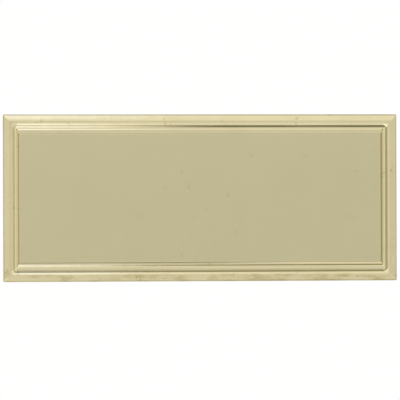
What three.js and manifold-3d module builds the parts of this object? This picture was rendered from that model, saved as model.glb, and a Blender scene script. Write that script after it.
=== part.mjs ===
// A weighted desk paperweight. A one-piece brass bezel holds four mitred slip strips round a
// sunken brass face plate. An iron slab fills the bezel from below, behind a steel base plate
// with four countersunk screws, and a felt pad covers the underside.
//
// Millimetres, +Z up. X runs along the length and Y along the width. The origin is the centre
// of the face that the felt rests on.

import * as THREE from "three";
import { mergeVertices } from "three/addons/utils/BufferGeometryUtils.js";
import Module from "manifold-3d";

// ---------------------------------------------------------------- driving dimensions

// The whole object.
const LENGTH = 127;
const WIDTH = 53.8;
const HEIGHT = 14;

// The felt pad and the film that holds it.
const FELT_THICK = 1.5;
const FELT_INSET = 1.5;
const FELT_CORNER = 1.5;
const FELT_FILM_THICK = 0.13;
const FELT_FILM_INSET = 1;

// The bezel, as widths seen from above and drops from its lip.
const RAIL_WIDTH = 3;
const RAIL_FALL = 0.4;
const LIP_LAND = 0.35;
const LIP_DRAFT = 0.5;
const LIP_DROP = 0.7;
const OUTER_CORNER = 0.6;
const OPENING_CORNER = 0.8;
const BEZEL_WALL = 3.2;
const LEDGE_THICK = 1.6;
const LEDGE_SEAT = 3;
const CAVITY_CORNER = 1.5;

// The slip strips. Each one's section is a flat flange, a bead and a sloping inner face, given
// as shares of the strip's width, so that strips of two widths meet along a straight mitre.
const SLIP_SIDE_WIDTH = 2.5;
const SLIP_END_WIDTH = 1.4;
const FLANGE_SHARE = 0.28;
const BEAD_SHARE = 0.46;
const BEAD_RISE = 0.22;
const MITRE_GAP = 0.04;

// The face plate, its film and its board backing.
const PLATE_DROP = 1.1;
const PLATE_THICK = 1;
const PLATE_FILM_THICK = 0.12;
const PLATE_FILM_INSET = 0.5;
const BACKING_GAP = 0.3;

// The base plate and the rebate that it lies in.
const BASE_THICK = 2;
const REBATE_WALL = 1.9;
const REBATE_CORNER = 1;

// The screws: M3 countersunk, with plain shanks in plain holes.
const SCREW_INSET = 6.5;
const SCREW_LENGTH = 6;
const SHANK_RADIUS = 1.5;
const HEAD_RADIUS = 2.75;
const HEAD_EDGE = 0.2;
const HEAD_SINK = 0.1;
const TIP_CHAMFER = 0.4;
const SLOT_WIDTH = 0.8;
const SLOT_DEPTH = 0.6;
const BOSS_RADIUS = 3.5;
const TAPPED_RADIUS = SHANK_RADIUS + 0.05;
const TAPPED_SPARE = 0.8;
const PLATE_HOLE_RADIUS = SHANK_RADIUS + 0.2;
const SCREW_TURN_STEP = 0.65;

// Clearances.
const SEAT_GAP = 0.01;
const SLIDE_GAP = 0.05;
const HEAD_GAP = 0.1;
const CORE_GAP = 0.4;

// How finely round shapes are divided, and how far a cutter runs past what it cuts.
const ARC_SEGMENTS = 8;
const ROUND_SEGMENTS = 32;
const PAST = 1;

// ---------------------------------------------------------------- heights and plan sizes

const feltFilmBottom = FELT_THICK + SEAT_GAP;
const bezelBottom = feltFilmBottom + FELT_FILM_THICK + SEAT_GAP;
const basePlateTop = bezelBottom + BASE_THICK;
const rebateTop = basePlateTop + SEAT_GAP;
const plateTop = HEIGHT - PLATE_DROP;
const plateBottom = plateTop - PLATE_THICK;
const plateFilmBottom = plateBottom - SEAT_GAP - PLATE_FILM_THICK;
const ledgeTop = plateFilmBottom - SEAT_GAP;
const ledgeBottom = ledgeTop - LEDGE_THICK;
const flangeTop = HEIGHT - LIP_DROP;

// Each inset is measured from the bezel's outer faces.
const openingInset = RAIL_WIDTH + LIP_DRAFT;
const slipInset = openingInset + SLIDE_GAP;
const plateEndInset = slipInset + SLIP_END_WIDTH + SLIDE_GAP;
const plateSideInset = slipInset + SLIP_SIDE_WIDTH + SLIDE_GAP;
const ledgeEndInset = plateEndInset + LEDGE_SEAT;
const ledgeSideInset = plateSideInset + LEDGE_SEAT;

// ---------------------------------------------------------------- materials

const polishedBrass = new THREE.MeshStandardMaterial({ color: 0xdccf9f, roughness: 0.18, metalness: 1 });
const satinBrass = new THREE.MeshStandardMaterial({ color: 0xcabd8d, roughness: 0.3, metalness: 1 });
const castIron = new THREE.MeshStandardMaterial({ color: 0x4c4b4a, roughness: 0.75, metalness: 1 });
const platedSteel = new THREE.MeshStandardMaterial({ color: 0xa9abad, roughness: 0.4, metalness: 1 });
const greyboard = new THREE.MeshStandardMaterial({ color: 0x8c8578, roughness: 0.9, metalness: 0 });
const greenFelt = new THREE.MeshStandardMaterial({ color: 0x1f4a36, roughness: 1, metalness: 0 });
const clearFilm = new THREE.MeshStandardMaterial({ color: 0xe4dfcf, roughness: 0.5, metalness: 0 });

// ---------------------------------------------------------------- shared helpers

const wasm = await Module();
wasm.setup();

// A three.js geometry as a solid that can be joined and cut.
function solid(geometry) {
  const bare = geometry.clone();
  bare.deleteAttribute("normal");
  bare.deleteAttribute("uv");
  const merged = mergeVertices(bare, 1e-4);
  return new wasm.Manifold(
    new wasm.Mesh({
      numProp: 3,
      vertProperties: new Float32Array(merged.attributes.position.array),
      triVerts: new Uint32Array(merged.index.array),
    }),
  );
}

// A solid back as a three.js geometry.
function geometryOf(shape) {
  const { vertProperties, triVerts } = shape.getMesh();
  const geometry = new THREE.BufferGeometry();
  geometry.setAttribute("position", new THREE.BufferAttribute(vertProperties, 3));
  geometry.setIndex(new THREE.BufferAttribute(triVerts, 1));
  geometry.computeVertexNormals();
  return geometry;
}

// A rectangle about the origin, with round corners unless the radius is zero.
function rectangle(lengthX, widthY, radius) {
  const [x, y] = [lengthX / 2, widthY / 2];
  const corners = [
    [x, -y],
    [x, y],
    [-x, y],
    [-x, -y],
  ];
  if (radius === 0) {
    return new THREE.Shape(corners.map(([cornerX, cornerY]) => new THREE.Vector2(cornerX, cornerY)));
  }
  const shape = new THREE.Shape();
  corners.forEach(([cornerX, cornerY], quarter) => {
    const centreX = cornerX - Math.sign(cornerX) * radius;
    const centreY = cornerY - Math.sign(cornerY) * radius;
    const from = ((quarter - 1) * Math.PI) / 2;
    shape.absarc(centreX, centreY, radius, from, from + Math.PI / 2);
  });
  return shape;
}

// The bezel's outline moved inwards by one inset at the ends and another at the long sides.
function insetRectangle(endInset, sideInset, radius) {
  return rectangle(LENGTH - 2 * endInset, WIDTH - 2 * sideInset, radius);
}

// A shape extruded straight up, from one height to another.
function upright(shape, bottom, top) {
  const options = { depth: top - bottom, bevelEnabled: false, curveSegments: ARC_SEGMENTS };
  return new THREE.ExtrudeGeometry(shape, options).translate(0, 0, bottom);
}

// A closed outline of [radius, height] points turned about the Z axis.
function turned(points) {
  const profile = points.map(([radius, height]) => new THREE.Vector2(radius, height));
  return new THREE.LatheGeometry(profile, ROUND_SEGMENTS).rotateX(Math.PI / 2);
}

function cylinder(radius, bottom, top) {
  return turned([
    [0, bottom],
    [radius, bottom],
    [radius, top],
    [0, top],
  ]);
}

// The places of the four screws, [x, y].
function screwPlaces() {
  const [x, y] = [LENGTH / 2 - SCREW_INSET, WIDTH / 2 - SCREW_INSET];
  return [
    [-x, -y],
    [x, -y],
    [x, y],
    [-x, y],
  ];
}

const paperweight = new THREE.Group();

function addMesh(name, geometry, material, height) {
  const mesh = new THREE.Mesh(geometry, material);
  mesh.name = name;
  mesh.position.z = height;
  paperweight.add(mesh);
  return mesh;
}

// ---------------------------------------------------------------- the bezel

// The outer block: upright walls under four top faces that fall outwards from the lip and meet
// in hips at the corners. The bevel's lower half is trimmed off with the corners.
function bezelBlock() {
  const slope = RAIL_WIDTH - LIP_LAND;
  const options = {
    depth: HEIGHT - RAIL_FALL,
    bevelThickness: RAIL_FALL,
    bevelSize: slope,
    bevelSegments: 1,
  };
  const hipped = new THREE.ExtrudeGeometry(insetRectangle(slope, slope, 0), options);
  const outline = insetRectangle(0, 0, OUTER_CORNER);
  return solid(hipped).intersect(solid(upright(outline, bezelBottom, HEIGHT + PAST)));
}

// The opening for the slip and the face plate: upright up to the flange, then flared to the lip.
function topOpening() {
  const outline = insetRectangle(openingInset, openingInset, OPENING_CORNER);
  const options = {
    depth: PAST,
    bevelThickness: LIP_DROP,
    bevelSize: LIP_DRAFT,
    bevelSegments: 1,
    curveSegments: ARC_SEGMENTS,
  };
  const flare = new THREE.ExtrudeGeometry(outline, options).translate(0, 0, HEIGHT);
  return solid(flare).add(solid(upright(outline, ledgeTop, flangeTop + LIP_DROP / 2)));
}

// The hollow underneath: the base plate's rebate, the slab's cavity and the ledge's opening.
function underside() {
  const rebate = insetRectangle(REBATE_WALL, REBATE_WALL, REBATE_CORNER);
  const cavity = insetRectangle(BEZEL_WALL, BEZEL_WALL, CAVITY_CORNER);
  const ledge = insetRectangle(ledgeEndInset, ledgeSideInset, CAVITY_CORNER);
  return solid(upright(rebate, bezelBottom - PAST, rebateTop))
    .add(solid(upright(cavity, bezelBottom - PAST, ledgeBottom)))
    .add(solid(upright(ledge, bezelBottom - PAST, ledgeTop + PAST)));
}

function bezelFrame() {
  let frame = bezelBlock().subtract(topOpening()).subtract(underside());
  const boss = cylinder(BOSS_RADIUS, rebateTop, ledgeBottom + LEDGE_THICK / 2);
  const holeTop = bezelBottom + HEAD_SINK + SCREW_LENGTH + TAPPED_SPARE;
  const hole = cylinder(TAPPED_RADIUS, rebateTop - PAST, holeTop);
  for (const [x, y] of screwPlaces()) {
    frame = frame.add(solid(boss).translate([x, y, 0]));
    frame = frame.subtract(solid(hole).translate([x, y, 0]));
  }
  return geometryOf(frame);
}

addMesh("bezel_frame", bezelFrame(), polishedBrass, 0);

// ---------------------------------------------------------------- the slip strips

// The strip's section. Across runs from its outer edge to the plate, and up from the ledge.
function slipSection(width) {
  const [flange, bead] = [width * FLANGE_SHARE, width * BEAD_SHARE];
  const [flangeUp, plateUp] = [flangeTop - ledgeTop, plateTop - ledgeTop];
  const section = new THREE.Shape();
  section.moveTo(0, 0);
  section.lineTo(width, 0);
  section.lineTo(width, plateUp);
  section.lineTo(flange + bead, flangeUp);
  section.absellipse(flange + bead / 2, flangeUp, bead / 2, BEAD_RISE, 0, Math.PI, false, 0);
  section.lineTo(0, flangeUp);
  return section;
}

// A strip along X with its outer edge facing -Y, for one side of a slip that is length by across
// outside. Its ends are mitred to meet neighbours of another width, and its outer corners are
// rounded as the opening's are.
function slipStrip(length, across, width, neighbourWidth) {
  const [halfLength, outerY] = [length / 2, -across / 2];
  const sectionAxes = new THREE.Matrix4().makeBasis(
    new THREE.Vector3(0, 1, 0),
    new THREE.Vector3(0, 0, 1),
    new THREE.Vector3(1, 0, 0),
  );
  const options = { depth: length, bevelEnabled: false, curveSegments: ARC_SEGMENTS };
  const bar = new THREE.ExtrudeGeometry(slipSection(width), options)
    .applyMatrix4(sectionAxes)
    .translate(-halfLength, outerY, 0);

  const height = flangeTop + BEAD_RISE - ledgeTop + PAST;
  const outerX = halfLength - MITRE_GAP / 2;
  const mitred = new THREE.Shape([
    new THREE.Vector2(-outerX, outerY),
    new THREE.Vector2(outerX, outerY),
    new THREE.Vector2(outerX - neighbourWidth, outerY + width),
    new THREE.Vector2(neighbourWidth - outerX, outerY + width),
  ]);
  const opening = rectangle(length, across, OPENING_CORNER);
  return geometryOf(
    solid(bar)
      .intersect(solid(upright(mitred, -PAST, height)))
      .intersect(solid(upright(opening, -PAST, height))),
  );
}

const slipLength = LENGTH - 2 * slipInset;
const slipAcross = WIDTH - 2 * slipInset;
const sideStrip = slipStrip(slipLength, slipAcross, SLIP_SIDE_WIDTH, SLIP_END_WIDTH);
const endStrip = slipStrip(slipAcross, slipLength, SLIP_END_WIDTH, SLIP_SIDE_WIDTH);
const strips = [
  ["slip_front", sideStrip],
  ["slip_right", endStrip],
  ["slip_back", sideStrip],
  ["slip_left", endStrip],
];
strips.forEach(([name, geometry], quarter) => {
  const strip = addMesh(name, geometry, polishedBrass, ledgeTop + SEAT_GAP);
  strip.rotation.z = (quarter * Math.PI) / 2;
});

// ---------------------------------------------------------------- the face plate

const plateOutline = insetRectangle(plateEndInset, plateSideInset, 0);
addMesh("face_plate", upright(plateOutline, 0, PLATE_THICK), satinBrass, plateBottom);

const plateFilm = insetRectangle(plateEndInset + PLATE_FILM_INSET, plateSideInset + PLATE_FILM_INSET, 0);
addMesh("plate_adhesive", upright(plateFilm, 0, PLATE_FILM_THICK), clearFilm, plateFilmBottom);

const backing = insetRectangle(
  ledgeEndInset + BACKING_GAP,
  ledgeSideInset + BACKING_GAP,
  CAVITY_CORNER - BACKING_GAP,
);
addMesh("plate_backing", upright(backing, 0, LEDGE_THICK), greyboard, ledgeBottom);

// ---------------------------------------------------------------- the weight

// A slab that fills the cavity, with its corners scooped out round the screw bosses.
function weightCore() {
  const coreInset = BEZEL_WALL + CORE_GAP;
  const outline = insetRectangle(coreInset, coreInset, CAVITY_CORNER - CORE_GAP);
  const height = ledgeBottom - SEAT_GAP - rebateTop;
  let slab = solid(upright(outline, 0, height));
  const scoop = cylinder(BOSS_RADIUS + CORE_GAP, -PAST, height + PAST);
  for (const [x, y] of screwPlaces()) {
    slab = slab.subtract(solid(scoop).translate([x, y, 0]));
  }
  return geometryOf(slab);
}

addMesh("weight_core", weightCore(), castIron, rebateTop);

// ---------------------------------------------------------------- the base plate and screws

// A countersunk hole, with its heights counted from the screw head's flat face.
function countersink() {
  const mouth = HEAD_RADIUS + HEAD_GAP;
  const coneTop = HEAD_EDGE + mouth - PLATE_HOLE_RADIUS;
  return turned([
    [0, -HEAD_SINK - PAST],
    [mouth, -HEAD_SINK - PAST],
    [mouth, HEAD_EDGE],
    [PLATE_HOLE_RADIUS, coneTop],
    [PLATE_HOLE_RADIUS, BASE_THICK + PAST],
    [0, BASE_THICK + PAST],
  ]);
}

function basePlate() {
  const inset = REBATE_WALL + SLIDE_GAP;
  const outline = insetRectangle(inset, inset, REBATE_CORNER - SLIDE_GAP);
  let plate = solid(upright(outline, 0, BASE_THICK));
  for (const [x, y] of screwPlaces()) {
    plate = plate.subtract(solid(countersink()).translate([x, y, HEAD_SINK]));
  }
  return geometryOf(plate);
}

addMesh("base_plate", basePlate(), platedSteel, bezelBottom);

// A countersunk screw with its slotted head down.
function baseScrew() {
  const coneTop = HEAD_EDGE + HEAD_RADIUS - SHANK_RADIUS;
  const body = turned([
    [0, 0],
    [HEAD_RADIUS, 0],
    [HEAD_RADIUS, HEAD_EDGE],
    [SHANK_RADIUS, coneTop],
    [SHANK_RADIUS, SCREW_LENGTH - TIP_CHAMFER],
    [SHANK_RADIUS - TIP_CHAMFER, SCREW_LENGTH],
    [0, SCREW_LENGTH],
  ]);
  const slot = new THREE.BoxGeometry(2 * HEAD_RADIUS + PAST, SLOT_WIDTH, 2 * SLOT_DEPTH);
  return geometryOf(solid(body).subtract(solid(slot)));
}

const screwGeometry = baseScrew();
screwPlaces().forEach(([x, y], index) => {
  const name = `base_screw_${index + 1}`;
  const screw = addMesh(name, screwGeometry, platedSteel, bezelBottom + HEAD_SINK);
  screw.position.x = x;
  screw.position.y = y;
  screw.rotation.z = SCREW_TURN_STEP * index;
});

// ---------------------------------------------------------------- the felt

const feltFilmInset = FELT_INSET + FELT_FILM_INSET;
const feltFilm = insetRectangle(feltFilmInset, feltFilmInset, FELT_CORNER);
addMesh("felt_adhesive", upright(feltFilm, 0, FELT_FILM_THICK), clearFilm, feltFilmBottom);

const felt = insetRectangle(FELT_INSET, FELT_INSET, FELT_CORNER);
addMesh("felt_pad", upright(felt, 0, FELT_THICK), greenFelt, 0);

export default paperweight;
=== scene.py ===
"""A brass desk paperweight: an outer bezel, four mitred slip strips, a sunken face plate and a felt.

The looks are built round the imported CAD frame, in metres, with +Z up and X along the length.
"""

import math

import bmesh
import bpy
from mathutils import Matrix, Vector, noise


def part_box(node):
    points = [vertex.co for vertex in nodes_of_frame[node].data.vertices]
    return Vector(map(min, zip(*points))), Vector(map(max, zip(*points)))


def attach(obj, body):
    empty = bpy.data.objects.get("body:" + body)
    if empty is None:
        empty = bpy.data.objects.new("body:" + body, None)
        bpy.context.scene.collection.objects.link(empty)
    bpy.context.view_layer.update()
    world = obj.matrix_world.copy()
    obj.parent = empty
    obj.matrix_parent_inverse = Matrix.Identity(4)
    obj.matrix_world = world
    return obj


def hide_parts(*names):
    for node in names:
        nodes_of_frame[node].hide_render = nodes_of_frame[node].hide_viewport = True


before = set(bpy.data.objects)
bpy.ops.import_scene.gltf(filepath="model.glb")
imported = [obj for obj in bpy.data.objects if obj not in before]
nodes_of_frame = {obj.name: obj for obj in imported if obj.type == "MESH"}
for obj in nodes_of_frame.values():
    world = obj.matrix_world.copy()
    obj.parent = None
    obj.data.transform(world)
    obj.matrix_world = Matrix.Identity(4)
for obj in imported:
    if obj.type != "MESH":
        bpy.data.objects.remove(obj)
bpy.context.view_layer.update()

MM = 0.001

# ------------------------------------------------------------------ sizes

# The camera: nearly straight above, leaning towards the left end.
CAMERA_DISTANCE = 600 * MM
CAMERA_LEAN = math.radians(2.95)
CAMERA_ROLL = math.radians(-0.16)
CAMERA_LENS = 167.57
CAMERA_SENSOR = 36
CAMERA_CLIP = (0.01, 20)
CAMERA_AIM = (-0.29 * MM, -0.71 * MM)

# The bezel's section, as distances in from its outer face and angles from level.
RAIL_FALL = 0.4 * MM
RAIL_RUN = 2.4 * MM
RAIL_SLOPE = math.atan(RAIL_FALL / RAIL_RUN)
RAIL_CROWN = 0.01 * MM
ARRIS_RADIUS = 0.06 * MM
EDGE_ANGLE = math.radians(33)
EDGE_RADIUS = 0.6 * MM
EASE_ANGLE = math.radians(22)
EASE_RADIUS = 4.6 * MM
SHOULDER_START = 1.98 * MM
CREST_RADIUS = 0.8 * MM
CREST_END = math.radians(6)
SHOULDER_RADIUS = 2.1 * MM
SHOULDER_END = math.radians(28)
BROW_RADIUS = 0.1 * MM
WALL_ANGLE = math.radians(42)
GROOVE_DEPTH = 0.02 * MM
OPENING_SHOULDER = 0.3 * MM
FOOT_CHAMFER = 0.2 * MM

# The bezel's corners, seen from above.
OUTER_CORNER = 0.4 * MM
HIP_START = 0.8 * MM
HIP_CORNER = 0.22 * MM
LIP_CORNER = 1.3 * MM
OPENING_CORNER = 0.8 * MM
CAVITY_CORNER = 1.5 * MM
REBATE_CORNER = 1 * MM

# The clearances that the frame leaves round the pieces.
SLIDE_GAP = 0.05 * MM
LIP_GAP = 0.02 * MM
CORE_GAP = 0.4 * MM
BACKING_GAP = 0.3 * MM
SEAT_GAP = 0.01 * MM

# Where a strip's arris, flange, bead, steep face and toe end, as shares of its width.
FRONT_STRIP = (0.02, 0.28, 0.54, 0.77, 0.89)
BACK_STRIP = (0.18, 0.22, 0.42, 0.6, 0.9)
END_STRIP = (0.04, 0.2, 0.68, 0.97, 0.99)

# The heights of a strip's section over the face plate.
ARRIS_RISE = 0.2 * MM
FLANGE_RISE = 0.4 * MM
BEAD_RISE = 0.07 * MM
FACE_RISE = 0.5 * MM
TOE_RISE = 0.1 * MM

# The strips' mitred ends: the gap of the joint, and how far and how deep each end is eased.
MITRE_GAP = 0.025 * MM
EASED_RUN = 0.45 * MM
EASED_DROP = 0.1 * MM
EASED_STEPS = 4

# The bosses that take the screws.
BOSS_RADIUS = 3.5 * MM
BOSS_BORE = 1.55 * MM
BOSS_SPARE = 0.8 * MM
BOSS_SIDES = 32

# The softened edge of the face plate, with the loops of faces that keep the rest flat, and the felt's
# cut edge.
PLATE_EDGE = 0.14 * MM
PLATE_LOOPS = (0.3 * MM, 1 * MM)
FELT_CORNER = 1.5 * MM
FELT_ROUND = 0.3 * MM
FELT_FRAY = 0.12 * MM
FRAY_SIZE = 0.8 * MM
FINE_FRAY_SIZE = 0.3 * MM
FINE_FRAY_SHARE = 0.5

# How finely the shapes are divided.
ARC_STEPS = 8
SIDE_STEPS = 6
RAIL_STEPS = 7
WALL_STEPS = 4
BEAD_STEPS = 14
PLATE_STEPS = 5
RUN_STEP = 1.1 * MM
SHARP_ANGLE = math.radians(38)

# Hand finishing leaves the polished faces slightly uneven, in broad waves with finer ones on them. The
# bezel and the strips read different layers of the noise.
WAVE_LENGTH = 5.5 * MM
WAVE_HEIGHT = 0.008 * MM
FINE_WAVES = 2.3
FINE_WAVE_SHARE = 0.4
STRIP_WAVE_SHARE = 0.6
BEZEL_LAYER = 1
STRIP_LAYER = 3
FINE_LAYER = 7

# The sizes and depths of the marks in the brass.
CLOUD_SIZE = 14 * MM
MOTTLE_SIZE = 1.6 * MM
SMUDGE_SIZE = 2.5 * MM
PATCH_SIZE = 45 * MM
# The size of the front rail's patches of painted shade and roughness.
FRONT_RAIL_PATCH_SIZE = 2.2 * MM
SWELL_SIZE = 6 * MM
GRAIN_SIZE = 0.12 * MM
GRAIN_DEPTH = 0.0006 * MM
HAIRLINE_LENGTH = 9 * MM
HAIRLINE_THINNESS = 45
HAIRLINE_DEPTH = 0.0008 * MM

# The pointiness at which an edge begins to be worn, and at which it is fully worn.
WORN_FROM = 0.51
WORN_FULL = 0.58

# Where the painted shade and the front rail's patches begin and where they are full. The front rail has
# long patches of painted shade, also made rougher: insets from the front face, and drops from the bezel's
# top.
FRONT_RAIL_INSETS = (3 * MM, 1.6 * MM)
FRONT_RAIL_DROPS = (0.8 * MM, 0.5 * MM)
# The painted shade along the outer arris: insets, drops from the top of the sides, and how strong the dark
# line is.
ARRIS_SHADE_INSETS = (0.55 * MM, 0.3 * MM)
ARRIS_SHADE_DROPS = (0.6 * MM, 0.1 * MM)
ARRIS_SHADE = 0.4
# The painted shade in the back groove: insets from the back face, and places along X.
BACK_SHADE_INSETS = (4.3 * MM, 4.15 * MM)
BACK_SHADE_ALONG = (-38 * MM, 10 * MM)
# The painted shade at the foot of the front strip: rises over the plate, and places along X, fading to the
# right.
FRONT_FOOT_SHADE_RISES = (0.12 * MM, 0.06 * MM)
FRONT_FOOT_SHADE_ALONG = (40 * MM, -10 * MM)
FRONT_FOOT_SHADE_BEYOND = -10 * MM
FRONT_FOOT_SHADE = 0.7
# The painted shade on the face plate's rounded edge: a drop from its top, and how strong the dark line is.
PLATE_SHADE_DROP = 0.02 * MM
PLATE_SHADE = 0.5

# The metals' colours, the colour of the painted shade, and how much brighter worn edges are in brass and
# in the grey metals.
BRASS = (0.88, 0.785, 0.48)
PLATE_BRASS = (0.78, 0.71, 0.432)
TARNISH = (0.55, 0.44, 0.2)
# The dark colour of the painted shade in the brass's grooves and along its edges.
PAINTED_SHADE_COLOUR = (0.25, 0.22, 0.11)
WORN_GAIN = 1.06
GREY_WORN_GAIN = 1.5

# The floor, and the white that the camera itself sees of the floor and the backdrop.
FLOOR_HALF = 3.0
FLOOR_COLOUR = (0.8, 0.8, 0.79, 1)
FLOOR_SEEN = (1, 1, 0.995, 1)
BACKDROP_GLOW = 1.0

# The studio's light. The banks' level changes by these rises per unit of direction in Y or X, so a
# negative rise makes them brighter towards the front or the left.
BANK_LIGHT = 0.7
BANK_BACK_RISE = 0.72
BANK_FRONT_RISE = -0.1
BANK_LEFT_RISE = -0.06
BANK_LIMIT = 0.89
LOW_BANK_LIGHT = 0.82
RIGHT_HIP_LIGHT = 0.45
LEFT_HIP_LIGHT = 0.4
FRONT_LEFT_LIGHT = 0.3
STRIP_LIGHT_FRONT = 0.4
STRIP_LIGHT_LOW = 0.36
STRIP_LIGHT_BACK = 1.15
CEILING_FRONT = 0.63
CEILING_BACK = 0.65
CEILING_RIGHT_FALL = -0.03
ROOM_TOP = 0.5
ROOM_TOP_FRONT = -0.1
ROOM_BLUR = 0.03
ROOM_LEFT = 0.4
ROOM_MIDDLE = 0.3
ROOM_RIGHT = 0.6
HORIZON_LIGHT = 0.85
WHITE = (1, 1, 1, 1)
COOL_TINT = (0.96, 1, 1.22, 1)
ROOM_TINT = (1.06, 1, 0.72, 1)

# ------------------------------------------------------------------ mesh helpers


def size_of(node):
    """The size of a CAD node in X and Y."""
    lowest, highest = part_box(node)
    return highest.x - lowest.x, highest.y - lowest.y


def grown(size, amount):
    """A size with the same amount added on every side."""
    return size[0] + 2 * amount, size[1] + 2 * amount


def ring(size, corner, height):
    """Points round a rectangle with round corners, the same number for any size."""
    half_x, half_y = size[0] / 2, size[1] / 2
    arcs = []
    for quarter, (side_x, side_y) in enumerate(((1, -1), (1, 1), (-1, 1), (-1, -1))):
        centre = Vector((side_x * (half_x - corner), side_y * (half_y - corner), height))
        turns = [(quarter - 1 + step / ARC_STEPS) * math.pi / 2 for step in range(ARC_STEPS + 1)]
        arcs.append([centre + corner * Vector((math.cos(t), math.sin(t), 0)) for t in turns])
    points = []
    for quarter, arc in enumerate(arcs):
        run = BEZEL_SIZE[1] if quarter % 2 == 0 else BEZEL_SIZE[0]
        steps = round(run / RUN_STEP)
        start, end = arc[-1], arcs[(quarter + 1) % 4][0]
        points += arc
        points += [start.lerp(end, step / steps) for step in range(1, steps)]
    return points


def bridge(mesh, rows, closed):
    """Faces between neighbouring rows of vertices, each row a closed loop."""
    pairs = list(zip(rows, rows[1:]))
    if closed:
        pairs.append((rows[-1], rows[0]))
    for low, high in pairs:
        for i in range(len(low)):
            j = (i + 1) % len(low)
            mesh.faces.new((low[i], low[j], high[j], high[i]))


def loft(mesh, rings, closed=False):
    """A skin over rings of points: a tube closed on itself, or one capped at both ends."""
    rows = [[mesh.verts.new(point) for point in points] for points in rings]
    bridge(mesh, rows, closed)
    if not closed:
        mesh.faces.new(list(reversed(rows[0])))
        mesh.faces.new(rows[-1])
    return rows


def finish_piece(name, mesh, replaced):
    """A riding Blender piece from a bmesh, which stands for a CAD node."""
    bmesh.ops.recalc_face_normals(mesh, faces=mesh.faces)
    data = bpy.data.meshes.new(name)
    mesh.to_mesh(data)
    mesh.free()
    data.shade_smooth()
    data.set_sharp_from_angle(angle=SHARP_ANGLE)
    piece = bpy.data.objects.new(name, data)
    bpy.context.scene.collection.objects.link(piece)
    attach(piece, "root")
    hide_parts(replaced)
    return piece


def unevenness(point, layer):
    """A smooth, repeatable height for a place on a hand finished face."""
    broad = noise.noise(Vector((point.x / WAVE_LENGTH, point.y / WAVE_LENGTH, layer)))
    fine_place = Vector((point.x, point.y, 0)) * FINE_WAVES / WAVE_LENGTH
    fine = noise.noise(fine_place + Vector((0, 0, layer + FINE_LAYER)))
    return WAVE_HEIGHT * (broad + FINE_WAVE_SHARE * fine)


# ------------------------------------------------------------------ the bezel

BEZEL_LOW, BEZEL_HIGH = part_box("bezel_frame")
BEZEL_SIZE = size_of("bezel_frame")
SLIP_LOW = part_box("slip_front")[0]
SLIP_SIZE = (
    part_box("slip_right")[1].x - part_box("slip_left")[0].x,
    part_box("slip_back")[1].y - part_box("slip_front")[0].y,
)
LEDGE_TOP = SLIP_LOW.z - SEAT_GAP
LEDGE_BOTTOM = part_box("plate_backing")[0].z
REBATE_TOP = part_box("weight_core")[0].z
PLATE_LOW, PLATE_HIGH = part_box("face_plate")
FLANGE_TOP = PLATE_HIGH.z + FLANGE_RISE


def arc_onwards(points, radius, start, end, steps):
    """Carries a section on along an arc whose surface leans by start at first and end at last.

    A negative lean faces outwards and a positive one inwards.
    """
    inwards, height = points[-1]
    centre = (inwards - radius * math.sin(start), height - radius * math.cos(start))
    for step in range(1, steps + 1):
        lean = start + (end - start) * step / steps
        points.append((centre[0] + radius * math.sin(lean), centre[1] + radius * math.cos(lean)))


def rail_section():
    """The bezel's top, from its outer face to the foot of its inner wall, as [in, up]."""
    points = [(0, 0)]
    arc_onwards(points, ARRIS_RADIUS, -math.pi / 2, -EDGE_ANGLE, steps=3)
    arc_onwards(points, EDGE_RADIUS, -EDGE_ANGLE, -EASE_ANGLE, steps=5)
    arc_onwards(points, EASE_RADIUS, -EASE_ANGLE, -RAIL_SLOPE, steps=6)

    first = points[-1]
    rail_run = SHOULDER_START - first[0]
    for step in range(1, RAIL_STEPS + 1):
        share = step / RAIL_STEPS
        crown = RAIL_CROWN * 4 * share * (1 - share)
        inwards = first[0] + rail_run * share
        points.append((inwards, first[1] + rail_run * share * math.tan(RAIL_SLOPE) + crown))
    arc_onwards(points, CREST_RADIUS, -RAIL_SLOPE, CREST_END, steps=5)
    arc_onwards(points, SHOULDER_RADIUS, CREST_END, SHOULDER_END, steps=6)
    arc_onwards(points, BROW_RADIUS, SHOULDER_END, WALL_ANGLE, steps=3)

    line_height = BEZEL_HIGH.z - RAIL_FALL + SHOULDER_START * math.tan(RAIL_SLOPE)
    lift = line_height - (first[1] + rail_run * math.tan(RAIL_SLOPE))
    points = [(inwards, height + lift) for inwards, height in points]

    top_in, top_up = points[-1]
    fall = top_up - (FLANGE_TOP - GROOVE_DEPTH)
    for step in range(1, WALL_STEPS + 1):
        down = fall * step / WALL_STEPS
        points.append((top_in + down / math.tan(WALL_ANGLE), top_up - down))
    return points


def rail_corner(inwards, wall_top):
    """The corner radius at a distance in from the outer face: tight along the hips, wide at the lip,
    and smaller again down the wall, which keeps its slope round the corner."""
    if inwards < HIP_START:
        share = inwards / HIP_START
        return OUTER_CORNER + (HIP_CORNER - OUTER_CORNER) * share
    if inwards < SHOULDER_START:
        return HIP_CORNER
    if inwards < wall_top:
        share = (inwards - SHOULDER_START) / (wall_top - SHOULDER_START)
        return HIP_CORNER + (LIP_CORNER - HIP_CORNER) * share
    return max(OPENING_CORNER, LIP_CORNER - (inwards - wall_top))


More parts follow.
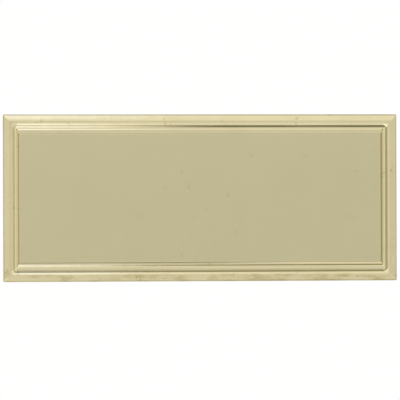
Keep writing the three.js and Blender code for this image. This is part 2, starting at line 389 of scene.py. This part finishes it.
def make_bezel():
    mesh = bmesh.new()
    opening = grown(SLIP_SIZE, SLIDE_GAP)
    ledge = grown(size_of("plate_backing"), BACKING_GAP)
    cavity = grown(size_of("weight_core"), CORE_GAP)
    rebate = grown(size_of("base_plate"), SLIDE_GAP)

    foot = BEZEL_LOW.z
    rings = [
        ring(grown(BEZEL_SIZE, -FOOT_CHAMFER), OUTER_CORNER, foot),
        ring(BEZEL_SIZE, OUTER_CORNER, foot + FOOT_CHAMFER),
    ]
    section = rail_section()
    side_top = section[0][1]
    wall_top = section[-1 - WALL_STEPS][0]
    for step in range(1, SIDE_STEPS):
        height = foot + FOOT_CHAMFER + (side_top - foot - FOOT_CHAMFER) * step / SIDE_STEPS
        rings.append(ring(BEZEL_SIZE, OUTER_CORNER, height))
    for inwards, height in section:
        points = ring(grown(BEZEL_SIZE, -inwards), rail_corner(inwards, wall_top), height)
        if inwards > ARRIS_RADIUS:
            for point in points:
                point.z += unevenness(point, BEZEL_LAYER)
        rings.append(points)
    rings += [
        ring(grown(SLIP_SIZE, LIP_GAP), OPENING_CORNER, FLANGE_TOP - GROOVE_DEPTH),
        ring(opening, OPENING_CORNER, FLANGE_TOP - OPENING_SHOULDER),
        ring(opening, OPENING_CORNER, LEDGE_TOP),
        ring(ledge, CAVITY_CORNER, LEDGE_TOP),
        ring(ledge, CAVITY_CORNER, LEDGE_BOTTOM),
        ring(cavity, CAVITY_CORNER, LEDGE_BOTTOM),
        ring(cavity, CAVITY_CORNER, REBATE_TOP),
        ring(rebate, REBATE_CORNER, REBATE_TOP),
        ring(rebate, REBATE_CORNER, foot),
    ]
    loft(mesh, rings, closed=True)
    for index in range(1, 5):
        add_boss(mesh, f"base_screw_{index}")
    return finish_piece("bezel", mesh, "bezel_frame")


def add_boss(mesh, screw):
    """A tapped pillar under the ledge, round one screw."""
    low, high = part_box(screw)
    axis = (low + high) / 2
    top, bore_top = LEDGE_BOTTOM - SEAT_GAP, high.z + BOSS_SPARE
    section = [
        (BOSS_BORE, REBATE_TOP),
        (BOSS_RADIUS, REBATE_TOP),
        (BOSS_RADIUS, top),
        (BOSS_BORE / 2, top),
        (BOSS_BORE / 2, bore_top),
        (BOSS_BORE, bore_top),
    ]
    turns = [2 * math.pi * side / BOSS_SIDES for side in range(BOSS_SIDES)]
    rows = []
    for radius, height in section:
        rows.append([
            mesh.verts.new((axis.x + radius * math.cos(t), axis.y + radius * math.sin(t), height))
            for t in turns
        ])
    bridge(mesh, rows, closed=True)


# ------------------------------------------------------------------ the slip strips


def straight(points, end, steps):
    """Carries a section on in a straight line to its next corner."""
    start = points[-1]
    for step in range(1, steps + 1):
        share = step / steps
        points.append(tuple(a + (b - a) * share for a, b in zip(start, end)))


def slip_section(width, shares):
    """A strip's section: up its outer edge, over an arris, a flange, a bead and a steep face, and
    along a low toe to the plate. Points are [in, up]."""
    base = PLATE_HIGH.z
    arris_end, flange_end, bead_end, face_end, toe_end = [share * width for share in shares]
    arris_rise = max(ARRIS_RISE, FLANGE_RISE - 2 * arris_end)
    points = [(0, SLIP_LOW.z), (0, base + arris_rise)]
    straight(points, (arris_end, base + FLANGE_RISE), steps=3)
    straight(points, (flange_end, base + FLANGE_RISE), steps=3)
    for step in range(1, BEAD_STEPS + 1):
        share = step / BEAD_STEPS
        across = flange_end + (bead_end - flange_end) * share
        line = FLANGE_RISE + (FACE_RISE - FLANGE_RISE) * share
        points.append((across, base + line + BEAD_RISE * math.sin(math.pi * share)))
    straight(points, (face_end, base + TOE_RISE), steps=6)
    straight(points, (toe_end, base + TOE_RISE), steps=3)
    straight(points, (width, base), steps=3)
    points.append((width, SLIP_LOW.z))
    return points


def slip_end_cut(inwards, width, neighbour):
    """How far a strip's end lies in from the corner: along the mitre, and round the corner."""
    mitre = inwards * neighbour / width + MITRE_GAP
    if inwards >= OPENING_CORNER:
        return mitre
    left = OPENING_CORNER - inwards
    return max(mitre, OPENING_CORNER - math.sqrt(OPENING_CORNER ** 2 - left ** 2))


def stations(length):
    """Places along a strip from -1 to 1, closer together where its ends are eased."""
    steps = round(length / RUN_STEP)
    places = [2 * step / steps - 1 for step in range(1, steps)]
    for step in range(EASED_STEPS + 1):
        near_end = 1 - 2 * EASED_RUN * step / EASED_STEPS / length
        places += [near_end, -near_end]
    return sorted(places)


def make_slip(name, node, quarter, shares):
    """One strip, with its outer edge towards -Y before it is turned by quarters about Z."""
    length, across = SLIP_SIZE if quarter % 2 == 0 else reversed(SLIP_SIZE)
    widths = (size_of("slip_front")[1], size_of("slip_left")[0])
    width, neighbour = widths if quarter % 2 == 0 else reversed(widths)
    turn = Matrix.Rotation(quarter * math.pi / 2, 4, "Z")
    mesh = bmesh.new()
    rings = []
    for place in stations(length):
        points = []
        for inwards, height in slip_section(width, shares):
            half = length / 2 - slip_end_cut(inwards, width, neighbour)
            point = turn @ Vector((place * half, inwards - across / 2, height))
            if height > SLIP_LOW.z:
                point.z += STRIP_WAVE_SHARE * unevenness(point, STRIP_LAYER)
            eased = max(0, 1 - (1 - abs(place)) * half / EASED_RUN) ** 2
            rise = max(0, min(1, (height - PLATE_HIGH.z) / FLANGE_RISE))
            point.z -= EASED_DROP * eased * rise
            points.append(point)
        rings.append(points)
    loft(mesh, rings)
    return finish_piece(name, mesh, node)


# ------------------------------------------------------------------ the face plate and the felt


def make_plate():
    mesh = bmesh.new()
    size = size_of("face_plate")
    low, high = PLATE_LOW.z, PLATE_HIGH.z
    corner = PLATE_EDGE
    rings = [ring(grown(size, -PLATE_EDGE), corner, low), ring(size, corner, low + PLATE_EDGE)]
    for step in range(PLATE_STEPS + 1):
        turn = step / PLATE_STEPS * math.pi / 2
        inset = PLATE_EDGE * (1 - math.cos(turn))
        height = high - PLATE_EDGE * (1 - math.sin(turn))
        rings.append(ring(grown(size, -inset), corner, height))
    for margin in PLATE_LOOPS:
        rings.append(ring(grown(size, -PLATE_EDGE - margin), corner, high))
    loft(mesh, rings)
    return finish_piece("engraving_plate", mesh, "face_plate")


def make_felt():
    mesh = bmesh.new()
    low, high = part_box("felt_pad")
    size = size_of("felt_pad")
    side_bottom, side_top = low.z + FELT_ROUND, high.z - FELT_ROUND / 2
    section = [(FELT_ROUND, low.z), (FELT_ROUND / 3, low.z + FELT_ROUND / 3)]
    for step in range(SIDE_STEPS + 1):
        section.append((0, side_bottom + (side_top - side_bottom) * step / SIDE_STEPS))
    section.append((FELT_ROUND / 2, high.z))
    rings = []
    for inset, height in section:
        points = ring(grown(size, -inset - FELT_FRAY), FELT_CORNER, height)
        for point in points:
            outwards = Vector((point.x, point.y, 0)).normalized()
            fray = noise.noise(point / FRAY_SIZE) + FINE_FRAY_SHARE * noise.noise(point / FINE_FRAY_SIZE)
            point += FELT_FRAY * max(-1, min(1, fray)) * outwards
        rings.append(points)
    loft(mesh, rings)
    felt = finish_piece("felt", mesh, "felt_pad")
    return felt


# ------------------------------------------------------------------ material helpers


class Nodes:
    """Short names for building a node tree."""

    def __init__(self, tree):
        self.tree = tree
        tree.nodes.clear()

    def add(self, kind, **values):
        node = self.tree.nodes.new(kind)
        for name, value in values.items():
            setattr(node, name, value)
        return node

    def link(self, source, target):
        if isinstance(source, bpy.types.NodeSocket):
            self.tree.links.new(source, target)
        else:
            target.default_value = source

    def math(self, operation, first, second=0.0, clamp=False):
        node = self.add("ShaderNodeMath", operation=operation, use_clamp=clamp)
        self.link(first, node.inputs[0])
        self.link(second, node.inputs[1])
        return node.outputs[0]

    def plus(self, base, value, share, clamp=False):
        """The sum of base and a share of value."""
        return self.math("ADD", base, self.math("MULTIPLY", value, share), clamp)

    def product(self, first, *others):
        """The numbers multiplied together."""
        for other in others:
            first = self.math("MULTIPLY", first, other)
        return first

    def step(self, value, low, high, to_low=0.0, to_high=1.0):
        """A smooth step from to_low at low to to_high at high, which may lie below low."""
        node = self.add("ShaderNodeMapRange", interpolation_type="SMOOTHSTEP")
        for name, source in (
            ("Value", value),
            ("From Min", low),
            ("From Max", high),
            ("To Min", to_low),
            ("To Max", to_high),
        ):
            self.link(source, node.inputs[name])
        return node.outputs[0]

    def blend(self, share, first, second):
        """A number that runs from first to second as share runs from 0 to 1."""
        change = self.math("SUBTRACT", second, first)
        return self.math("ADD", first, self.math("MULTIPLY", share, change))

    def mix(self, factor, first, second):
        node = self.add("ShaderNodeMix", data_type="RGBA")
        self.link(factor, node.inputs[0])
        self.link(first, node.inputs[6])
        self.link(second, node.inputs[7])
        return node.outputs[2]

    def coordinates(self):
        return self.add("ShaderNodeTexCoord").outputs["Object"]

    def separate(self, vector):
        """The X, Y and Z of a vector."""
        node = self.add("ShaderNodeSeparateXYZ")
        self.link(vector, node.inputs[0])
        return node.outputs

    def worn_edges(self):
        """How far a place is on an outward edge, from 0 to 1."""
        point = self.add("ShaderNodeNewGeometry").outputs["Pointiness"]
        return self.step(point, WORN_FROM, WORN_FULL)

    def placed(self, vector, scale=(1, 1, 1), turn=0.0, shift=(0, 0, 0)):
        node = self.add("ShaderNodeMapping")
        self.link(vector, node.inputs["Vector"])
        node.inputs["Location"].default_value = shift
        node.inputs["Rotation"].default_value = (0, 0, turn)
        node.inputs["Scale"].default_value = scale
        return node.outputs[0]

    def noise(self, vector, size, detail=2.0, roughness=0.5):
        """Noise from 0 to 1 whose features are about size metres across."""
        node = self.add("ShaderNodeTexNoise")
        self.link(vector, node.inputs["Vector"])
        node.inputs["Scale"].default_value = 1 / size
        node.inputs["Detail"].default_value = detail
        node.inputs["Roughness"].default_value = roughness
        return node.outputs["Fac"]

    def bump(self, height, depth, normal=None):
        """A bump whose height runs from 0 to depth metres."""
        node = self.add("ShaderNodeBump")
        node.inputs["Strength"].default_value = 1
        node.inputs["Distance"].default_value = depth
        self.link(height, node.inputs["Height"])
        if normal is not None:
            self.link(normal, node.inputs["Normal"])
        return node.outputs[0]

    def hairlines(self, vector, turn, shift, amount):
        """Thin straight scratches along one direction, from 0 to 1."""
        lines = self.placed(vector, (1, HAIRLINE_THINNESS, 1), turn, shift)
        streaks = self.noise(lines, HAIRLINE_LENGTH, detail=1.5)
        return self.step(streaks, 0.66 - amount, 0.72 - amount)


def rgb(red, green, blue):
    return red, green, blue, 1.0


def new_material(name):
    material = bpy.data.materials.new(name)
    material.use_nodes = True
    return material, Nodes(material.node_tree)


def principled(nodes, colour, roughness, normal=None, **sockets):
    """A shader whose numbers and colours are links or plain values."""
    shader = nodes.add("ShaderNodeBsdfPrincipled")
    nodes.link(colour, shader.inputs["Base Color"])
    nodes.link(roughness, shader.inputs["Roughness"])
    if normal is not None:
        nodes.link(normal, shader.inputs["Normal"])
    for name, value in sockets.items():
        shader.inputs[name.replace("_", " ")].default_value = value
    return shader.outputs[0]


def surface(nodes, shader):
    """Makes a shader the material's surface."""
    nodes.link(shader, nodes.add("ShaderNodeOutputMaterial").inputs["Surface"])


def brass(name, colour, gloss, wave, scratches, clouding, painted_shade_in):
    """Polished or satin brass: a cloudy colour, painted shade in the grooves and along edges, patches of
    painted shade and roughness on the front rail, bright worn edges, hairline scratches, and a surface
    that is not quite flat. painted_shade_in gives the places of the painted shade."""
    material, nodes = new_material(name)
    place = nodes.coordinates()
    clouds = nodes.noise(place, CLOUD_SIZE, detail=3, roughness=0.55)
    mottle_place = nodes.placed(place, shift=(0.3, 0.1, 0.2))
    mottle = nodes.noise(mottle_place, MOTTLE_SIZE, detail=4, roughness=0.6)
    grain = nodes.noise(place, GRAIN_SIZE)
    along = nodes.hairlines(place, turn=0.06, shift=(0.01, 0.02, 0), amount=scratches)
    across = nodes.hairlines(place, turn=1.9, shift=(0.04, 0.03, 0), amount=scratches)
    slanted = nodes.hairlines(place, turn=-0.7, shift=(0.07, 0.01, 0), amount=scratches)
    lines = nodes.math("MAXIMUM", nodes.math("MAXIMUM", along, across), slanted)

    patchy = nodes.step(nodes.noise(place, PATCH_SIZE), 0.38, 0.6)
    # Painted shade: dark lines in the grooves, along the outer arris and round the plate's edge, which are
    # also made rougher.
    painted_shade = nodes.product(painted_shade_in(nodes, place), nodes.blend(patchy, 0.85, 1.0))
    # Painted shade in long patches on the front rail, which is also made rougher there.
    dull_and_shade = front_rail_dull_and_shade(nodes, place)

    tarnish_and_shade = nodes.product(nodes.step(clouds, 0.35, 0.75), clouding)
    tarnish_and_shade = nodes.plus(tarnish_and_shade, nodes.step(mottle, 0.45, 0.8), 0.6 * clouding)
    smudges = nodes.noise(nodes.placed(place, shift=(0.02, 0.05, 0.1)), SMUDGE_SIZE, detail=1.5)
    tarnish_and_shade = nodes.plus(tarnish_and_shade, nodes.step(smudges, 0.68, 0.74), 3 * clouding)
    # The front rail's painted shade joins the tarnish here.
    tarnish_and_shade = nodes.plus(tarnish_and_shade, dull_and_shade, 0.6, clamp=True)
    shade = nodes.mix(tarnish_and_shade, rgb(*colour), rgb(*TARNISH))
    bright = [min(1.0, channel * WORN_GAIN) for channel in colour]
    shade = nodes.mix(nodes.product(nodes.worn_edges(), 0.6), shade, rgb(*bright))
    # The painted shade darkens the grooves and edges here.
    shade = nodes.mix(painted_shade, shade, rgb(*PAINTED_SHADE_COLOUR))

    rough = gloss
    for mark, share in ((mottle, 0.05), (lines, 0.08), (dull_and_shade, 0.12), (painted_shade, 0.3)):
        rough = nodes.plus(rough, mark, share)
    rough = nodes.plus(rough, grain, 0.03, clamp=True)

    swell = nodes.noise(nodes.placed(place, shift=(0.2, 0.5, 0.1)), SWELL_SIZE, detail=1.5)
    normal = nodes.bump(swell, wave)
    normal = nodes.bump(lines, -HAIRLINE_DEPTH, normal)
    normal = nodes.bump(grain, GRAIN_DEPTH, normal)
    surface(nodes, principled(nodes, shade, rough, normal, Metallic=1.0))
    return material


def front_rail_dull_and_shade(nodes, place):
    """The front rail: rougher in long patches, with painted shade in the same patches."""
    y, z = nodes.separate(place)[1:]
    front = nodes.step(y, *[inset - BEZEL_SIZE[1] / 2 for inset in FRONT_RAIL_INSETS])
    upper = nodes.step(z, *[BEZEL_HIGH.z - drop for drop in FRONT_RAIL_DROPS])
    stretched = nodes.placed(place, scale=(0.35, 1, 1), shift=(0.1, 0.2, 0))
    patches = nodes.noise(stretched, FRONT_RAIL_PATCH_SIZE, detail=3, roughness=0.6)
    return nodes.product(front, upper, nodes.step(patches, 0.42, 0.68))


def arris_painted_shade(nodes, place):
    """Painted shade along the bezel's outer arris."""
    parts = nodes.separate(place)
    inset = nodes.math("MINIMUM", *[
        nodes.math("SUBTRACT", size / 2, nodes.math("ABSOLUTE", parts[axis]))
        for axis, size in enumerate(BEZEL_SIZE)
    ])
    side_top = BEZEL_HIGH.z - RAIL_FALL
    upper = nodes.step(parts[2], *[side_top - drop for drop in ARRIS_SHADE_DROPS])
    return nodes.product(nodes.step(inset, *ARRIS_SHADE_INSETS, 0, ARRIS_SHADE), upper)


def strip_painted_shade(nodes, place):
    """Painted shade on the strips: on the back strip's outer arris, and along the plate on the front
    strip.
    """
    x, y, z = nodes.separate(place)
    back = nodes.step(y, *[BEZEL_SIZE[1] / 2 - inset for inset in BACK_SHADE_INSETS])
    back = nodes.product(back, nodes.step(x, *BACK_SHADE_ALONG))
    low = nodes.step(z, *[PLATE_HIGH.z + rise for rise in FRONT_FOOT_SHADE_RISES])
    front = nodes.step(y, 0, FRONT_FOOT_SHADE_BEYOND)
    front = nodes.product(front, nodes.step(x, *FRONT_FOOT_SHADE_ALONG, 0, FRONT_FOOT_SHADE))
    return nodes.math("MAXIMUM", back, nodes.product(low, front))


def plate_edge_painted_shade(nodes, place):
    """A faint dark line of painted shade at the plate's own edge."""
    z = nodes.separate(place)[2]
    return nodes.step(z, PLATE_HIGH.z - PLATE_SHADE_DROP, PLATE_HIGH.z - PLATE_EDGE, 0, PLATE_SHADE)


def mottled_metal(name, colour, stain, gloss, size, depth):
    """Cast or plated metal: a grainy surface with stains."""
    material, nodes = new_material(name)
    place = nodes.coordinates()
    patches = nodes.noise(place, size * 6, detail=4, roughness=0.6)
    grain = nodes.noise(place, size, detail=4, roughness=0.6)
    shade = nodes.mix(nodes.step(patches, 0.4, 0.7), rgb(*colour), rgb(*stain))
    bright = [min(1, GREY_WORN_GAIN * channel) for channel in colour]
    shade = nodes.mix(nodes.product(nodes.worn_edges(), 0.5), shade, rgb(*bright))
    rough = nodes.plus(gloss, grain, 0.2, clamp=True)
    surface(nodes, principled(nodes, shade, rough, nodes.bump(grain, depth), Metallic=1.0))
    return material


def felt_material():
    """Pressed wool: matted fibres of several greens, with a soft sheen."""
    material, nodes = new_material("wool_felt")
    place = nodes.coordinates()
    bent = nodes.noise(place, size=2.5 * MM)
    matted = nodes.add("ShaderNodeVectorMath", operation="ADD")
    nodes.link(place, matted.inputs[0])
    nodes.link(nodes.product(bent, 1.2 * MM), matted.inputs[1])
    fibres = 0
    for turn in (0.2, 1.3, 2.4):
        strand_place = nodes.placed(matted.outputs[0], scale=(1, 7, 3), turn=turn)
        strands = nodes.noise(strand_place, size=1.1 * MM, detail=3, roughness=0.6)
        fibres = nodes.math("MAXIMUM", fibres, strands)
    thick = nodes.noise(place, size=5 * MM, detail=3)
    lit = nodes.mix(nodes.step(fibres, 0.5, 0.75), rgb(0.022, 0.085, 0.045), rgb(0.11, 0.27, 0.16))
    shade = nodes.mix(nodes.step(thick, 0.35, 0.7), lit, rgb(0.04, 0.13, 0.075))
    rough = nodes.plus(0.85, fibres, 0.12)
    normal = nodes.bump(fibres, depth=0.18 * MM)
    surface(nodes, principled(nodes, shade, rough, normal, Sheen_Weight=0.35, Sheen_Roughness=0.5))
    return material


def board_material():
    """Grey board: pale pulp with darker flecks."""
    material, nodes = new_material("grey_board")
    place = nodes.coordinates()
    pulp = nodes.noise(place, size=0.9 * MM, detail=4, roughness=0.7)
    flecks = nodes.noise(nodes.placed(place, scale=(1, 3, 1), turn=0.8), size=0.5 * MM)
    shade = nodes.mix(pulp, rgb(0.34, 0.32, 0.28), rgb(0.2, 0.19, 0.165))
    shade = nodes.mix(nodes.step(flecks, 0.68, 0.74), shade, rgb(0.07, 0.06, 0.05))
    rough = nodes.plus(0.8, pulp, 0.15)
    surface(nodes, principled(nodes, shade, rough, nodes.bump(pulp, depth=0.05 * MM)))
    return material


def film_material():
    """Adhesive film: a cloudy pale layer with fine bubbles."""
    material, nodes = new_material("adhesive_film")
    place = nodes.coordinates()
    cloud = nodes.noise(place, size=4 * MM, detail=3)
    bubbles = nodes.step(nodes.noise(place, size=0.6 * MM, detail=1), 0.66, 0.72)
    shade = nodes.mix(cloud, rgb(0.76, 0.73, 0.62), rgb(0.66, 0.62, 0.5))
    shade = nodes.mix(bubbles, shade, rgb(0.85, 0.83, 0.76))
    rough = nodes.plus(0.35, cloud, 0.2)
    surface(nodes, principled(nodes, shade, rough, nodes.bump(bubbles, depth=0.02 * MM)))
    return material


def give(piece, material):
    """Puts one material on a whole piece."""
    piece.data.materials.clear()
    piece.data.materials.append(material)


# ------------------------------------------------------------------ the pieces and their materials

bezel = make_bezel()
slips = [
    make_slip("slip_strip_front", "slip_front", 0, FRONT_STRIP),
    make_slip("slip_strip_right", "slip_right", 1, END_STRIP),
    make_slip("slip_strip_back", "slip_back", 2, BACK_STRIP),
    make_slip("slip_strip_left", "slip_left", 3, END_STRIP),
]
plate = make_plate()
felt = make_felt()

bezel_brass = brass(
    "bezel_brass", BRASS, gloss=0.09, wave=0.05 * MM, scratches=0, clouding=0.12, painted_shade_in=arris_painted_shade
)
slip_brass = brass(
    "slip_brass", BRASS, gloss=0.1, wave=0.03 * MM, scratches=-0.02, clouding=0.1, painted_shade_in=strip_painted_shade
)
plate_brass = brass(
    "plate_brass", PLATE_BRASS, gloss=0.14, wave=0.002 * MM, scratches=-0.04, clouding=0.04,
    painted_shade_in=plate_edge_painted_shade,
)
give(bezel, bezel_brass)
for strip in slips:
    give(strip, slip_brass)
give(plate, plate_brass)
give(felt, felt_material())

iron = mottled_metal(
    "cast_iron", (0.1, 0.098, 0.095), stain=(0.16, 0.09, 0.05), gloss=0.55, size=0.6 * MM, depth=0.06 * MM
)
plated = mottled_metal(
    "plated_steel", (0.52, 0.53, 0.54), stain=(0.42, 0.42, 0.4), gloss=0.28, size=0.4 * MM, depth=0.01 * MM
)
screw_steel = mottled_metal(
    "screw_steel", (0.45, 0.45, 0.46), stain=(0.3, 0.29, 0.27), gloss=0.25, size=0.2 * MM, depth=0.01 * MM
)
film = film_material()
give(nodes_of_frame["weight_core"], iron)
give(nodes_of_frame["base_plate"], plated)
give(nodes_of_frame["plate_backing"], board_material())
give(nodes_of_frame["plate_adhesive"], film)
give(nodes_of_frame["felt_adhesive"], film)
for index in range(1, 5):
    give(nodes_of_frame[f"base_screw_{index}"], screw_steel)

# ------------------------------------------------------------------ floor, light and camera


def make_floor():
    mesh = bmesh.new()
    corners = ((-1, -1), (1, -1), (1, 1), (-1, 1))
    mesh.faces.new([mesh.verts.new((FLOOR_HALF * x, FLOOR_HALF * y, 0)) for x, y in corners])
    data = bpy.data.meshes.new("floor")
    mesh.to_mesh(data)
    mesh.free()
    floor = bpy.data.objects.new("floor", data)
    bpy.context.scene.collection.objects.link(floor)
    material, nodes = new_material("pale_floor")
    glowing = nodes.add("ShaderNodeEmission")
    glowing.inputs["Color"].default_value = FLOOR_SEEN
    glowing.inputs["Strength"].default_value = BACKDROP_GLOW
    both = nodes.add("ShaderNodeMixShader")
    nodes.link(nodes.add("ShaderNodeLightPath").outputs["Is Camera Ray"], both.inputs[0])
    nodes.link(principled(nodes, FLOOR_COLOUR, roughness=0.9), both.inputs[1])
    nodes.link(glowing.outputs[0], both.inputs[2])
    surface(nodes, both.outputs[0])
    give(floor, material)


def bank_light(nodes, x, y, z):
    """The banks of light round the ceiling: brighter towards the back, and even lower down."""
    bank = nodes.plus(BANK_LIGHT, nodes.math("MAXIMUM", y, 0), BANK_BACK_RISE)
    bank = nodes.plus(bank, y, BANK_FRONT_RISE)
    bank = nodes.plus(bank, x, BANK_LEFT_RISE)
    bank = nodes.math("MINIMUM", bank, BANK_LIMIT)
    return nodes.blend(nodes.step(z, 0.78, 0.68), bank, LOW_BANK_LIGHT)


def corner_light(nodes, bank, x, y, z):
    """The bank with the small lights that the hips and the lip's corners show as glints."""
    across = nodes.math("ABSOLUTE", y)
    spread = nodes.math("MINIMUM", nodes.math("ABSOLUTE", x), across)
    aside = nodes.step(spread, 0.15, 0.2)
    right = nodes.product(aside, nodes.step(spread, 0.36, 0.3), nodes.step(z, 0.8, 0.88))
    right = nodes.product(right, nodes.step(nodes.math("SUBTRACT", x, across), 0.04, 0.09))
    left = nodes.product(aside, nodes.step(spread, 0.44, 0.38), nodes.step(z, 0.74, 0.8))
    left = nodes.product(left, nodes.step(x, -0.05, -0.12))
    front_left = nodes.product(nodes.step(y, 0.05, -0.05), nodes.step(x, 0.05, -0.05))
    front_left = nodes.product(front_left, nodes.step(z, 0.8, 0.7), nodes.step(spread, 0.2, 0.3))
    bank = nodes.plus(bank, right, RIGHT_HIP_LIGHT)
    bank = nodes.plus(bank, left, LEFT_HIP_LIGHT)
    return nodes.plus(bank, front_left, FRONT_LEFT_LIGHT)


def strip_lights(nodes, x, y, z):
    """Where the narrow lights left of the middle are, as shares: one at the back, one at the front."""
    left = nodes.product(nodes.step(x, 0.02, -0.01), nodes.step(x, -0.3, -0.2))
    back = nodes.product(left, nodes.step(y, 0.33, 0.42))
    front = nodes.product(left, nodes.step(y, -0.25, -0.45), nodes.step(z, 0.55, 0.45))
    return back, front


def ceiling(nodes, x, y):
    """The share of a direction that is plain ceiling, and the ceiling's light."""
    across = nodes.product(nodes.step(y, 0.08, 0.05), nodes.step(y, -0.08, -0.05))
    share = nodes.product(across, nodes.step(x, -0.1, -0.07), nodes.step(x, 0.2, 0.17))
    light = nodes.step(y, -0.04, 0.04, CEILING_FRONT, CEILING_BACK)
    return share, nodes.math("ADD", light, nodes.step(x, 0.11, 0.15, 0, CEILING_RIGHT_FALL))


def dim_room(nodes, x, y, z):
    """The share of a direction that is the room below the banks, and the room's light."""
    top = nodes.blend(nodes.step(y, 0, -0.3), ROOM_TOP, ROOM_TOP_FRONT)
    above, below = nodes.math("ADD", top, ROOM_BLUR), nodes.math("SUBTRACT", top, ROOM_BLUR)
    left_to_middle = nodes.step(x, -0.5, -0.2, ROOM_LEFT, ROOM_MIDDLE)
    return nodes.step(z, above, below), nodes.blend(nodes.step(x, 0.2, 0.5), left_to_middle, ROOM_RIGHT)


def make_world():
    """A soft studio: a grey ceiling, brighter banks of light round it and a dimmer room below."""
    world = bpy.data.worlds.new("studio")
    world.use_nodes = True
    bpy.context.scene.world = world
    nodes = Nodes(world.node_tree)
    x, y, z = nodes.separate(nodes.add("ShaderNodeTexCoord").outputs["Generated"])

    back_strip, front_strip = strip_lights(nodes, x, y, z)
    light = corner_light(nodes, bank_light(nodes, x, y, z), x, y, z)
    light = nodes.blend(back_strip, light, nodes.step(z, 0.2, 0.28, STRIP_LIGHT_LOW, STRIP_LIGHT_BACK))
    light = nodes.plus(light, front_strip, STRIP_LIGHT_FRONT)
    inside, ceiling_light = ceiling(nodes, x, y)
    light = nodes.blend(inside, light, ceiling_light)
    room, room_light = dim_room(nodes, x, y, z)
    room = nodes.product(room, nodes.math("SUBTRACT", 1, back_strip))
    light = nodes.blend(room, light, room_light)
    horizon = nodes.step(z, 0.03, 0)
    light = nodes.blend(horizon, light, HORIZON_LIGHT)

    tint = nodes.mix(nodes.math("MAXIMUM", back_strip, front_strip), WHITE, COOL_TINT)
    tint = nodes.mix(room, tint, ROOM_TINT)
    tint = nodes.mix(horizon, tint, WHITE)

    seen = nodes.add("ShaderNodeLightPath").outputs["Is Camera Ray"]
    background = nodes.add("ShaderNodeBackground")
    nodes.link(nodes.mix(seen, tint, WHITE), background.inputs["Color"])
    nodes.link(nodes.blend(seen, light, BACKDROP_GLOW), background.inputs["Strength"])
    nodes.link(background.outputs[0], nodes.add("ShaderNodeOutputWorld").inputs["Surface"])


def make_camera():
    data = bpy.data.cameras.new("camera")
    data.lens = CAMERA_LENS
    data.sensor_width = CAMERA_SENSOR
    data.clip_start, data.clip_end = CAMERA_CLIP
    camera = bpy.data.objects.new("camera", data)
    bpy.context.scene.collection.objects.link(camera)
    turn = Matrix.Rotation(-CAMERA_LEAN, 4, "Y") @ Matrix.Rotation(CAMERA_ROLL, 4, "Z")
    aim = Vector((*CAMERA_AIM, BEZEL_HIGH.z - RAIL_FALL))
    back_off = turn.to_3x3() @ Vector((0, 0, CAMERA_DISTANCE))
    camera.matrix_world = Matrix.Translation(aim + back_off) @ turn
    bpy.context.scene.camera = camera


make_floor()
make_world()
make_camera()
bpy.context.scene.view_settings.view_transform = "Standard"

bpy.context.view_layer.update()
